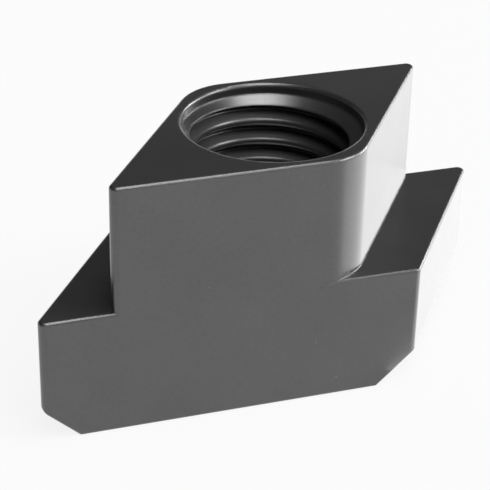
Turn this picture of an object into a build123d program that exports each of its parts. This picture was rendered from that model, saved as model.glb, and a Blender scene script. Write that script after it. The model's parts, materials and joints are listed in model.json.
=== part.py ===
"""Rhombic T-slot nut, a one-piece steel clamping nut with a tapped through hole.

The neck stands in a T-slot, between its lips, and the base reaches under both lips. The slot runs
along Y. The front and back faces are slanted to it by the acute angle, so the plan is a rhomboid:
acute corners at the front left and back right, obtuse ones at the front right and back left. The
origin is on the thread's axis, on the underside. Millimetres, Z up.
"""

import os
from math import cos, radians, sin, tan

from build123d import *

# Tapped hole
thread_diameter = 24.0
thread_pitch = 3.0
thread_angle = 60.0
recess_clearance = 0.3
recess_depth = 1.5
drill_point_angle = 120.0

# Section across the slot
base_height = 18.0
neck_height = 18.0
thread_wall = 1.9
flange_width = 7.9
foot_chamfer_width = 4.5
foot_chamfer_height = 5.0

# Plan
acute_angle = 55.0

# Broken edges
obtuse_radius = 8.5
corner_radius = 1.0
edge_radius = 0.45
rim_radius = 0.5

# The slanted faces lie as far apart as the neck's sides, so that the nut can be lowered through
# the slot's mouth with its slanted faces along it
neck_width = thread_diameter + 2 * thread_wall
base_width = neck_width + 2 * flange_width
nut_height = base_height + neck_height

# A metric thread is five eighths of its sharp V deep, and its crests stand where the tap drill went
sharp_v_height = thread_pitch / 2 / tan(radians(thread_angle / 2))
tap_drill_radius = thread_diameter / 2 - 5 / 8 * sharp_v_height
recess_radius = thread_diameter / 2 + recess_clearance

# Along the slanted faces, from the front left to the back right
slanted = Vector(sin(radians(acute_angle)), cos(radians(acute_angle)))


def right_corners(width):
    """Obtuse and acute corner on the right of a rhomboid as wide as this across the slot."""
    on_slope = width / 2 * slanted.Y
    obtuse = Vector(width / 2, (on_slope - neck_width / 2) / slanted.X)
    acute = Vector(width / 2, (on_slope + neck_width / 2) / slanted.X)
    return obtuse, acute


base_obtuse, base_acute = right_corners(base_width)
neck_obtuse, neck_acute = right_corners(neck_width)

with BuildPart() as t_slot_nut:
    # Base, with both feet chamfered along the slot's floor
    with BuildSketch(Plane.XY) as base_plan:
        Polygon(base_obtuse, base_acute, -base_obtuse, -base_acute, align=None)
    extrude(amount=base_height)
    underside = t_slot_nut.faces().sort_by(Axis.Z)[0]
    chamfer(
        underside.edges().filter_by(Axis.Y),
        length=foot_chamfer_width,
        length2=foot_chamfer_height,
        reference=underside,
    )
    fillet(t_slot_nut.edges().filter_by(Axis.Z), radius=corner_radius)
    fillet(t_slot_nut.edges().filter_by(Axis.Z, reverse=True), radius=edge_radius)

    # Neck, flush with the base's slanted faces, and round at the obtuse corners beside the hole
    with BuildSketch(Plane.XY.offset(base_height / 2)) as neck_plan:
        Polygon(neck_obtuse, neck_acute, -neck_obtuse, -neck_acute, align=None)
        fillet(neck_plan.vertices().sort_by_distance((0, 0))[-2:], radius=corner_radius)
        fillet(neck_plan.vertices().sort_by_distance(neck_obtuse)[:1], radius=obtuse_radius)
        fillet(neck_plan.vertices().sort_by_distance(-neck_obtuse)[:1], radius=obtuse_radius)
    extrude(amount=nut_height - base_height / 2)
    fillet(t_slot_nut.faces().sort_by(Axis.Z)[-1].edges(), radius=edge_radius)

    # Hole at the tap drill's size, with a recess at both ends that clears the bolt's thread
    with Locations((0, 0, nut_height - recess_depth), Location((0, 0, recess_depth), (180, 0, 0))):
        CounterSinkHole(
            radius=tap_drill_radius,
            counter_sink_radius=recess_radius,
            counter_sink_angle=drill_point_angle,
        )
    rims = t_slot_nut.edges().filter_by(GeomType.CIRCLE).filter_by(
        lambda edge: abs(edge.radius - recess_radius) < 0.001
    )
    fillet(rims.group_by(Axis.Z)[0] + rims.group_by(Axis.Z)[-1], radius=rim_radius)

t_slot_nut.part.label = "t_slot_nut"
os.makedirs("parts", exist_ok=True)
export_step(t_slot_nut.part, "parts/t_slot_nut.step")
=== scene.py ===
"""Looks of the rhombic T-slot nut: its tapped thread, its blackened steel, its light and camera.

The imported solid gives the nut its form. Here its plain hole is cut with the real thread, its skin
gets the satin black of oxidised steel, and it stands on pale paper before the photograph's camera.
Lengths are in metres, and in millimetres where a name ends in _mm.
"""

import json
import logging
import math
from dataclasses import dataclass, field
from enum import Enum, IntEnum

import bmesh
import bpy
from mathutils import Matrix, Vector


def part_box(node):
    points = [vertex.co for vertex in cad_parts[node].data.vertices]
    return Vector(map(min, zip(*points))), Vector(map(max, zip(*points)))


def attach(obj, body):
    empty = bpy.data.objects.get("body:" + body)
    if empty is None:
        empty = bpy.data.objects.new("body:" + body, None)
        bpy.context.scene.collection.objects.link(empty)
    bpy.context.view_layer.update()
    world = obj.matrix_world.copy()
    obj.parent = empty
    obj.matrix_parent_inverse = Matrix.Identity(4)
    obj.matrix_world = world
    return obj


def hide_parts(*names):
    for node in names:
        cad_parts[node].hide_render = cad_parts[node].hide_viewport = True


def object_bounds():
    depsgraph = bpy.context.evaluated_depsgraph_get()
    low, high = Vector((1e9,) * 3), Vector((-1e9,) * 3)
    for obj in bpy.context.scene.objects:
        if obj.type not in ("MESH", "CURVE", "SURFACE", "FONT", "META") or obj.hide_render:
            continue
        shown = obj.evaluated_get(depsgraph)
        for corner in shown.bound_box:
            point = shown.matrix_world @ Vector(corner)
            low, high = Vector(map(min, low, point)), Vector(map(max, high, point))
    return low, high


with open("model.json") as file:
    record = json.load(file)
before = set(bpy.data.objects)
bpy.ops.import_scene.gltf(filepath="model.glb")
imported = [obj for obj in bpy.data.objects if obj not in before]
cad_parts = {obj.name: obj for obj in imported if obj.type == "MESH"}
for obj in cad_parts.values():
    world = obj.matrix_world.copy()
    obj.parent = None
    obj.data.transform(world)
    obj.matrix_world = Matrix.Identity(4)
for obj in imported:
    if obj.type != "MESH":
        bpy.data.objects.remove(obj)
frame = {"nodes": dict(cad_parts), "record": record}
cad_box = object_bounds()

log = logging.getLogger("t_slot_nut")

MM = 0.001
TOUCHING = MM / 1000
IMAGE_PX = 490
UP = Vector((0.0, 0.0, 1.0))
WHITE = (1.0, 1.0, 1.0, 1.0)


def grey(value: float) -> tuple[float, float, float, float]:
    """An opaque neutral colour of this linear value."""
    return (value, value, value, 1.0)


class Hand(Enum):
    """Which way a thread turns as it rises."""

    RIGHT = 1
    LEFT = -1


class Slot(IntEnum):
    """The nut's material slots."""

    SKIN = 0
    THREAD = 1


class Signal:
    """A number on a shader socket, which Python's operators work on by adding Math nodes."""

    def __init__(self, bench: "Bench", socket: bpy.types.NodeSocket) -> None:
        """Wraps a socket.

        Args:
            bench: The bench that lays out the socket's node tree.
            socket: The output socket that carries the number.
        """
        self.bench = bench
        self.socket = socket

    def math(self, operation: str, first: "Signal | float", second: "Signal | float") -> "Signal":
        """Adds one Math node.

        Args:
            operation: The node's operation, such as "ADD".
            first: Its first input.
            second: Its second input.

        Returns:
            The node's output.
        """
        return self.bench.signal("ShaderNodeMath", {"operation": operation}, {0: first, 1: second})

    def __add__(self, other: "Signal | float") -> "Signal":
        """This plus the other."""
        return self.math("ADD", self, other)

    def __radd__(self, other: float) -> "Signal":
        """The other plus this."""
        return self.math("ADD", other, self)

    def __sub__(self, other: "Signal | float") -> "Signal":
        """This minus the other."""
        return self.math("SUBTRACT", self, other)

    def __rsub__(self, other: float) -> "Signal":
        """The other minus this."""
        return self.math("SUBTRACT", other, self)

    def __mul__(self, other: "Signal | float") -> "Signal":
        """This times the other."""
        return self.math("MULTIPLY", self, other)

    def __rmul__(self, other: float) -> "Signal":
        """The other times this."""
        return self.math("MULTIPLY", other, self)

    def __or__(self, other: "Signal | float") -> "Signal":
        """The larger of the two, which joins masks."""
        return self.math("MAXIMUM", self, other)

    def between(self, low: float, high: float) -> "Signal":
        """A mask that rises smoothly from 0 at low to 1 at high."""
        settings = {"interpolation_type": "SMOOTHSTEP"}
        inputs = {"Value": self, "From Min": low, "From Max": high}
        return self.bench.signal("ShaderNodeMapRange", settings, inputs)


class Bench:
    """Lays out the nodes of one material or world."""

    def __init__(self, tree: bpy.types.NodeTree) -> None:
        """Clears a node tree to work on.

        Args:
            tree: The tree of a material or world.
        """
        self.tree = tree
        tree.nodes.clear()

    def add(self, kind: str, settings: dict | None = None, inputs: dict | None = None) -> bpy.types.Node:
        """Adds any node.

        Args:
            kind: The node's type, such as "ShaderNodeTexNoise".
            settings: The node's own settings by name, which are set first.
            inputs: Values, signals or sockets, by the input's name or number.

        Returns:
            The new node.
        """
        node = self.tree.nodes.new(kind)
        for name, value in (settings or {}).items():
            setattr(node, name, value)
        for name, value in (inputs or {}).items():
            source = value.socket if isinstance(value, Signal) else value
            if isinstance(source, bpy.types.NodeSocket):
                self.tree.links.new(source, node.inputs[name])
            else:
                node.inputs[name].default_value = source
        return node

    def signal(self, kind: str, settings: dict | None = None, inputs: dict | None = None,
               output: int | str = 0) -> Signal:
        """Adds a node and wraps one of its outputs, by number or name, as a signal."""
        return Signal(self, self.add(kind, settings, inputs).outputs[output])

    def seen(self) -> Signal:
        """1 where the camera sees a thing, straight or in a reflection or through glass, else 0."""
        path = self.add("ShaderNodeLightPath")
        rays = [Signal(self, path.outputs[name]) for name in
                ("Is Camera Ray", "Is Glossy Ray", "Is Transmission Ray")]
        return rays[0] | rays[1] | rays[2]


@dataclass(frozen=True)
class BlackOxide:
    """Satin black oxide on machined steel under an oil film, with softened edges, lightened partly as
    rubbed wear and partly as a painted highlight.

    It has a fine grain, faint clouds and a few light and dark specks, whose radii are shares of
    the gap between them.
    """

    name: str = "black_oxide"
    tone: float = 0.096
    metal: float = 0.8
    cloud_size_mm: float = 9.0
    cloud_depth: float = 0.12
    cloud_detail: float = 4.0
    grain_size_mm: float = 0.5
    grain_depth: float = 0.1
    grain_detail: float = 2.0
    grain_height_mm: float = 0.002
    roughness: float = 0.32
    roughness_spread: float = 0.06
    oil_film: float = 0.6
    oil_roughness: float = 0.25
    speck_gap_mm: float = 2.5
    speck_share: float = 0.14
    speck_depth: float = 0.7
    speck_core: float = 0.03
    speck_reach: float = 0.08
    # Lighter edges, partly rubbed wear and partly a painted highlight along them
    edge_wear_and_highlight_reach_mm: float = 0.35
    edge_wear_and_highlight_tone: float = 0.03
    edge_wear_and_highlight_from: float = 0.01
    edge_wear_and_highlight_full: float = 0.12
    softening_mm: float = 0.45
    edge_samples: int = 6

    def rounded(self, bench: Bench, reach_mm: float) -> bpy.types.NodeSocket:
        """The surface's normal, rounded this far to each side of an edge."""
        bevel = bench.add("ShaderNodeBevel", {"samples": self.edge_samples}, {"Radius": reach_mm * MM})
        return bevel.outputs[0]

    def rubbed_and_highlit_edges(self, bench: Bench) -> Signal:
        """1 on the edges, where a rounded normal leaves the face's own, and 0 on the faces; it lightens
        them partly as rubbed wear and partly as a painted highlight.
        """
        own = bench.add("ShaderNodeNewGeometry").outputs["True Normal"]
        facing = bench.signal("ShaderNodeVectorMath", {"operation": "DOT_PRODUCT"},
                              {0: self.rounded(bench, self.edge_wear_and_highlight_reach_mm), 1: own}, "Value")
        return (1 - facing).between(self.edge_wear_and_highlight_from, self.edge_wear_and_highlight_full)

    def specks(self, bench: Bench, in_mm: bpy.types.NodeSocket) -> Signal:
        """Sparse specks, 1 in a light one, -1 in a dark one and 0 between them."""
        cells = bench.add("ShaderNodeTexVoronoi", inputs={"Vector": in_mm, "Scale": 1 / self.speck_gap_mm})
        away = Signal(bench, cells.outputs["Distance"])
        near = 1 - away.between(self.speck_core, self.speck_reach)
        chance = bench.signal("ShaderNodeSeparateColor", inputs={"Color": cells.outputs["Color"]})
        light = chance.between(1 - self.speck_share, 1)
        dark = 1 - chance.between(0, self.speck_share)
        return near * (light - dark)

    def material(self) -> bpy.types.Material:
        """Builds the material.

        Returns:
            The material, ready to assign.
        """
        made = bpy.data.materials.new(self.name)
        made.use_nodes = True
        bench = Bench(made.node_tree)
        place = bench.add("ShaderNodeTexCoord").outputs["Object"]
        in_mm = bench.add("ShaderNodeMapping", inputs={"Vector": place, "Scale": Vector((1 / MM,) * 3)})
        clouds = bench.signal("ShaderNodeTexNoise", inputs={
            "Vector": in_mm.outputs[0], "Scale": 1 / self.cloud_size_mm, "Detail": self.cloud_detail})
        grain = bench.signal("ShaderNodeTexNoise", inputs={
            "Vector": in_mm.outputs[0], "Scale": 1 / self.grain_size_mm, "Detail": self.grain_detail})
        mottle = 2 * self.cloud_depth * (clouds - 0.5) + 2 * self.grain_depth * (grain - 0.5)
        specks = self.speck_depth * self.specks(bench, in_mm.outputs[0])
        # The edges are lightened, partly as rubbed wear and partly as a painted highlight along them
        tone = self.tone * (1 + mottle + specks) + self.edge_wear_and_highlight_tone * self.rubbed_and_highlit_edges(bench)
        colour = bench.add("ShaderNodeCombineColor", inputs={0: tone, 1: tone, 2: tone})
        rough = self.roughness + self.roughness_spread * (clouds - 0.5)
        bump = bench.add("ShaderNodeBump", inputs={
            "Height": grain, "Distance": self.grain_height_mm * MM, "Strength": 1.0,
            "Normal": self.rounded(bench, self.softening_mm)})
        skin = bench.add("ShaderNodeBsdfPrincipled", inputs={
            "Base Color": colour.outputs[0], "Metallic": self.metal, "Roughness": rough,
            "Coat Weight": self.oil_film, "Coat Roughness": self.oil_roughness,
            "Normal": bump.outputs[0]})
        bench.add("ShaderNodeOutputMaterial", inputs={"Surface": skin.outputs[0]})
        return made


@dataclass(frozen=True)
class Paper:
    """White paper that the camera sees at an even pale level, with the nut's shadow on it."""

    name: str = "studio_paper"
    colour: float = 0.8
    roughness: float = 0.9
    even_share: float = 0.9
    even_level: float = 0.97

    def material(self) -> bpy.types.Material:
        """Builds the material.

        Returns:
            The material, ready to assign.
        """
        made = bpy.data.materials.new(self.name)
        made.use_nodes = True
        bench = Bench(made.node_tree)
        matt = bench.add("ShaderNodeBsdfDiffuse", inputs={
            "Color": grey(self.colour), "Roughness": self.roughness})
        even = bench.add("ShaderNodeEmission", inputs={"Color": WHITE, "Strength": self.even_level})
        blend = bench.add("ShaderNodeMixShader", inputs={
            0: self.even_share * bench.seen(), 1: matt.outputs[0], 2: even.outputs[0]})
        bench.add("ShaderNodeOutputMaterial", inputs={"Surface": blend.outputs[0]})
        return made


@dataclass
class Thread:
    """A metric thread, as the tap that cuts it into the nut.

    The nut's crests are cut back from the plain hole's wall by the clean-up, so that no strip of
    the wall is left. On the +X side, the middle of a groove is as high as the groove height says.
    """

    crest_radius_mm: float
    top_mm: float
    groove_height_mm: float = 1.5
    pitch_mm: float = 3.0
    angle_deg: float = 60.0
    hand: Hand = Hand.RIGHT
    clean_up_mm: float = 0.02
    overrun_turns: int = 1
    tip_turns: int = 2
    steps_per_turn: int = 72
    crest_rounding_mm: float = 0.32
    root_rounding_mm: float = 0.12
    rounding_steps: int = 4

    @property
    def turns(self) -> int:
        """Whole turns from below the nut's underside to above its top."""
        return math.ceil(self.top_mm / self.pitch_mm) + 2 * self.overrun_turns

    @property
    def sharp_height_mm(self) -> float:
        """Height of the sharp V that the thread is cut from."""
        return self.pitch_mm / 2 / math.tan(math.radians(self.angle_deg / 2))

    @property
    def root_radius_mm(self) -> float:
        """Radius of the thread's roots, five eighths of the sharp V deeper than its crests."""
        return self.crest_radius_mm + 5 / 8 * self.sharp_height_mm

    def section(self, form: bmesh.types.BMesh) -> None:
        """Draws one pitch of the thread in the XZ plane, from mid crest to mid crest.

        Args:
            form: The mesh that takes the section's points and edges.
        """
        crest = self.crest_radius_mm + self.clean_up_mm
        # The crests are a quarter of the pitch wide, and the roots an eighth
        corners = [
            (crest, 0.0),
            (crest, self.pitch_mm / 8),
            (self.root_radius_mm, self.pitch_mm * 7 / 16),
            (self.root_radius_mm, self.pitch_mm * 9 / 16),
            (crest, self.pitch_mm * 7 / 8),
            (crest, self.pitch_mm),
        ]
        start_mm = self.groove_height_mm - (self.overrun_turns + 0.5) * self.pitch_mm
        points = [form.verts.new((r * MM, 0.0, (start_mm + z) * MM)) for r, z in corners]
        for low, high in zip(points, points[1:]):
            form.edges.new((low, high))
        roundings = ((self.crest_rounding_mm, points[1:-1:3]), (self.root_rounding_mm, points[2:4]))
        for rounding_mm, rounded in roundings:
            bmesh.ops.bevel(form, geom=rounded, offset=rounding_mm * MM, offset_type="OFFSET",
                            segments=self.rounding_steps, profile=0.5, affect="VERTICES", material=-1)

    def tap(self) -> bpy.types.Object:
        """Builds the tap's solid.

        Returns:
            A closed mesh object with the thread on its outside, longer than the nut is high.
        """
        form = bmesh.new()
        self.section(form)
        steps = self.turns * self.steps_per_turn
        bmesh.ops.spin(form, geom=form.verts[:] + form.edges[:], cent=(0, 0, 0), axis=UP,
                       dvec=UP * self.pitch_mm * MM / self.steps_per_turn,
                       angle=self.hand.value * math.tau * self.turns, steps=steps)
        bmesh.ops.remove_doubles(form, verts=form.verts, dist=TOUCHING)
        open_edges = [edge for edge in form.edges if edge.is_boundary]
        middle = self.top_mm / 2 * MM
        for side in (-1, 1):
            loop = [edge for edge in open_edges if (edge.verts[0].co.z - middle) * side > 0]
            new = bmesh.ops.extrude_edge_only(form, edges=loop)["geom"]
            tip = [item for item in new if isinstance(item, bmesh.types.BMVert)]
            far = middle + side * (self.turns / 2 + self.tip_turns) * self.pitch_mm * MM
            bmesh.ops.pointmerge(form, verts=tip, merge_co=(0, 0, far))
        bmesh.ops.recalc_face_normals(form, faces=form.faces)
        for face in form.faces:
            face.material_index = Slot.THREAD
        mesh = bpy.data.meshes.new("tap")
        form.to_mesh(mesh)
        form.free()
        tap = bpy.data.objects.new("tap", mesh)
        bpy.context.scene.collection.objects.link(tap)
        return tap


@dataclass
class Nut:
    """The nut itself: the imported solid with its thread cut."""

    node: str = "t_slot_nut"
    body: str = "root"
    slot: str = "blackened_steel"
    finishes: dict[Slot, BlackOxide] = field(default_factory=lambda: {
        Slot.SKIN: BlackOxide(),
        Slot.THREAD: BlackOxide(name="black_oxide_thread", tone=0.08, roughness=0.45, softening_mm=0.15)})
    flat_limit_deg: float = 0.05
    sharp_from_deg: float = 38.0

    def thread(self) -> Thread:
        """Reads the thread's crest radius and the nut's height from the frame."""
        mount = next(m for m in frame["record"]["mounts"] if m["name"] == "thread")
        return Thread(crest_radius_mm=mount["dims"]["r_mm"], top_mm=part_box(self.node)[1].z / MM)

    def blank(self) -> bpy.types.Object:
        """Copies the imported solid.

        Returns:
            The copy, with its loose triangles joined and its flat faces whole.
        """
        form = bmesh.new()
        form.from_mesh(frame["nodes"][self.node].data)
        bmesh.ops.remove_doubles(form, verts=form.verts, dist=TOUCHING)
        bmesh.ops.dissolve_limit(form, angle_limit=math.radians(self.flat_limit_deg),
                                 verts=form.verts, edges=form.edges)
        log.info("blank has %d open edges", sum(not edge.is_manifold for edge in form.edges))
        for face in form.faces:
            face.material_index = Slot.SKIN
        mesh = bpy.data.meshes.new("nut_body")
        form.to_mesh(mesh)
        form.free()
        mesh.materials.clear()
        for slot in Slot:
            mesh.materials.append(self.finishes[slot].material())
        blank = bpy.data.objects.new("nut_body", mesh)
        bpy.context.scene.collection.objects.link(blank)
        return blank

    def set_shading(self, mesh: bpy.types.Mesh) -> None:
        """Shades a mesh smooth, but for its sharp edges and the borders between its slots.

        Args:
            mesh: The nut's mesh, with its thread cut.
        """
        form = bmesh.new()
        form.from_mesh(mesh)
        limit = math.radians(self.sharp_from_deg)
        for face in form.faces:
            face.smooth = True
        for edge in form.edges:
            slots = {face.material_index for face in edge.link_faces}
            edge.smooth = len(slots) == 1 and edge.calc_face_angle(math.pi) < limit
        log.info("threaded nut has %d open edges", sum(not edge.is_manifold for edge in form.edges))
        form.to_mesh(mesh)
        form.free()

    def build(self) -> bpy.types.Object:
        """Cuts the thread into the blank and dresses it.

        Returns:
            The finished piece.
        """
        piece = self.blank()
        tap = self.thread().tap()
        cut = piece.modifiers.new("thread", "BOOLEAN")
        cut.operation = "DIFFERENCE"
        cut.solver = "EXACT"
        cut.object = tap
        threaded = bpy.data.meshes.new_from_object(
            piece.evaluated_get(bpy.context.evaluated_depsgraph_get()))
        piece.modifiers.clear()
        piece.data = threaded
        bpy.data.objects.remove(tap)
        self.set_shading(threaded)
        even = piece.modifiers.new("even_shading", "WEIGHTED_NORMAL")
        even.keep_sharp = True
        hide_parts(self.node)
        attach(piece, self.body)
        return piece


@dataclass(frozen=True)
class Softbox:
    """A rectangular soft light, which the camera doesn't see."""

    name: str
    centre_mm: tuple[float, float, float]
    size_mm: tuple[float, float]
    level: float
    faces: tuple[float, float, float] | None = None

    def build(self, aim: Vector) -> None:
        """Hangs the light, with its surface as bright as its level, where 1 is white.

        Args:
            aim: The point that it faces where it has no direction of its own.
        """
        width, height = (side * MM for side in self.size_mm)
        lamp = bpy.data.lights.new(self.name, "AREA")
        lamp.shape = "RECTANGLE"
        lamp.size = width
        lamp.size_y = height
        lamp.energy = self.level * math.pi * width * height
        light = bpy.data.objects.new(self.name, lamp)
        light.location = Vector(self.centre_mm) * MM
        towards = Vector(self.faces) if self.faces else aim - light.location
        light.rotation_euler = towards.to_track_quat("-Z", "Y").to_euler()
        light.visible_camera = False
        bpy.context.scene.collection.objects.link(light)


@dataclass(frozen=True)
class GlowCard:
    """A card over the right flange, bright on top, which only glossy reflections show.

    The neck's right face mirrors it, so that the face is as light there as beyond the flange.
    """

    name: str = "glow_card"
    level: float = 1.85
    height_mm: float = 18.3
    corners_mm: tuple[tuple[float, float], ...] = ((13.9, -7.2), (21.8, -1.7), (21.8, 32.2), (13.9, 26.7))

    def material(self) -> bpy.types.Material:
        """Builds the material.

        Returns:
            The material, bright on the card's top and clear from below.
        """
        made = bpy.data.materials.new(self.name)
        made.use_nodes = True
        bench = Bench(made.node_tree)
        glow = bench.add("ShaderNodeEmission", inputs={"Color": WHITE, "Strength": self.level})
        clear = bench.add("ShaderNodeBsdfTransparent")
        from_below = bench.add("ShaderNodeNewGeometry").outputs["Backfacing"]
        blend = bench.add("ShaderNodeMixShader", inputs={
            0: from_below, 1: glow.outputs[0], 2: clear.outputs[0]})
        bench.add("ShaderNodeOutputMaterial", inputs={"Surface": blend.outputs[0]})
        return made

    def build(self) -> None:
        """Lays the card over the flange."""
        form = bmesh.new()
        form.faces.new([form.verts.new((x * MM, y * MM, self.height_mm * MM)) for x, y in self.corners_mm])
        mesh = bpy.data.meshes.new(self.name)
        form.to_mesh(mesh)
        form.free()
        mesh.materials.append(self.material())
        card = bpy.data.objects.new(self.name, mesh)
        bpy.context.scene.collection.objects.link(card)
        card.visible_camera = False
        card.visible_diffuse = False
        card.visible_shadow = False


@dataclass
class Studio:
    """Pale paper, a dim room, the glowing card and the softboxes.

    The paper is turned up at its border, so that low views show no dark room beyond it. The light
    table lies on it behind the nut's right side, whose steep faces mirror it. The other softboxes
    light the front, the round corner, the rim, the hole's cone and the edges.
    """

    paper: Paper = field(default_factory=Paper)
    card: GlowCard = field(default_factory=GlowCard)
    paper_width: float = 5.0
    paper_rise: float = 0.3
    room_level: float = 0.024
    softboxes: tuple[Softbox, ...] = (
        Softbox("overhead", (65.0, 90.0, 620.0), (240.0, 270.0), 7.0),
        Softbox("front_right", (420.0, -190.0, 260.0), (500.0, 450.0), 0.45),
        Softbox("upper_front", (170.0, -235.0, 510.0), (300.0, 300.0), 5.5),
        Softbox("high_right", (480.0, 90.0, 340.0), (240.0, 240.0), 12.0),
        Softbox("low_right", (360.0, 350.0, 110.0), (300.0, 90.0), 18.0),
        Softbox("low_back", (-92.0, 390.0, 66.0), (260.0, 60.0), 1.1),
        Softbox("light_table", (90.0, 95.0, 1.5), (140.0, 200.0), 0.98, (0.0, 0.0, 1.0)),
    )

    def build(self, aim: Vector) -> None:
        """Lays the paper, dims the room, lays the card and hangs the lights.

        Args:
            aim: The point that the lights face.
        """
        form = bmesh.new()
        bmesh.ops.create_grid(form, x_segments=1, y_segments=1, size=self.paper_width / 2)
        border = bmesh.ops.extrude_edge_only(form, edges=form.edges)["geom"]
        raised = [item for item in border if isinstance(item, bmesh.types.BMVert)]
        bmesh.ops.translate(form, verts=raised, vec=UP * self.paper_rise)
        mesh = bpy.data.meshes.new("paper")
        form.to_mesh(mesh)
        form.free()
        floor = bpy.data.objects.new("paper", mesh)
        bpy.context.scene.collection.objects.link(floor)
        mesh.materials.append(self.paper.material())
        world = bpy.data.worlds.new("room")
        world.use_nodes = True
        bench = Bench(world.node_tree)
        room = bench.add("ShaderNodeBackground", inputs={"Color": WHITE, "Strength": self.room_level})
        bench.add("ShaderNodeOutputWorld", inputs={"Surface": room.outputs[0]})
        bpy.context.scene.world = world
        self.card.build()
        for softbox in self.softboxes:
            softbox.build(aim)


@dataclass(frozen=True)
class PhotoCamera:
    """The photograph's camera, as the nut's straight edges in it give it."""

    azimuth_deg: float = 16.42
    elevation_deg: float = 28.94
    roll_deg: float = -1.33
    distance_mm: float = 245.3
    aim_mm: tuple[float, float, float] = (-5.21, 5.89, 12.89)
    focal_px: float = 1700.0
    sensor_mm: float = 36.0
    near_share: float = 0.1

    def build(self) -> None:
        """Sets the scene's camera."""
        around, above = math.radians(self.azimuth_deg), math.radians(self.elevation_deg)
        back = Vector((math.sin(around) * math.cos(above), -math.cos(around) * math.cos(above),
                       math.sin(above)))
        lens = bpy.data.cameras.new("camera")
        lens.sensor_width = self.sensor_mm
        lens.lens = self.focal_px * self.sensor_mm / IMAGE_PX
        camera = bpy.data.objects.new("camera", lens)
        camera.location = (Vector(self.aim_mm) + back * self.distance_mm) * MM
        level = (-back).to_track_quat("-Z", "Y").to_matrix()
        roll = Matrix.Rotation(math.radians(-self.roll_deg), 3, back)
        camera.rotation_euler = (roll @ level).to_euler()
        lens.clip_start = self.distance_mm * MM * self.near_share
        bpy.context.scene.collection.objects.link(camera)
        bpy.context.scene.camera = camera


def main() -> None:
    """Builds the nut, its studio and the camera."""
    logging.basicConfig(level=logging.INFO, format="%(name)s: %(message)s")
    low, high = cad_box
    piece = Nut().build()
    log.info("%s: %d faces", piece.name, len(piece.data.polygons))
    Studio().build((low + high) / 2)
    PhotoCamera().build()
    bpy.context.scene.view_settings.view_transform = "Standard"


if __name__ == "__main__":
    main()
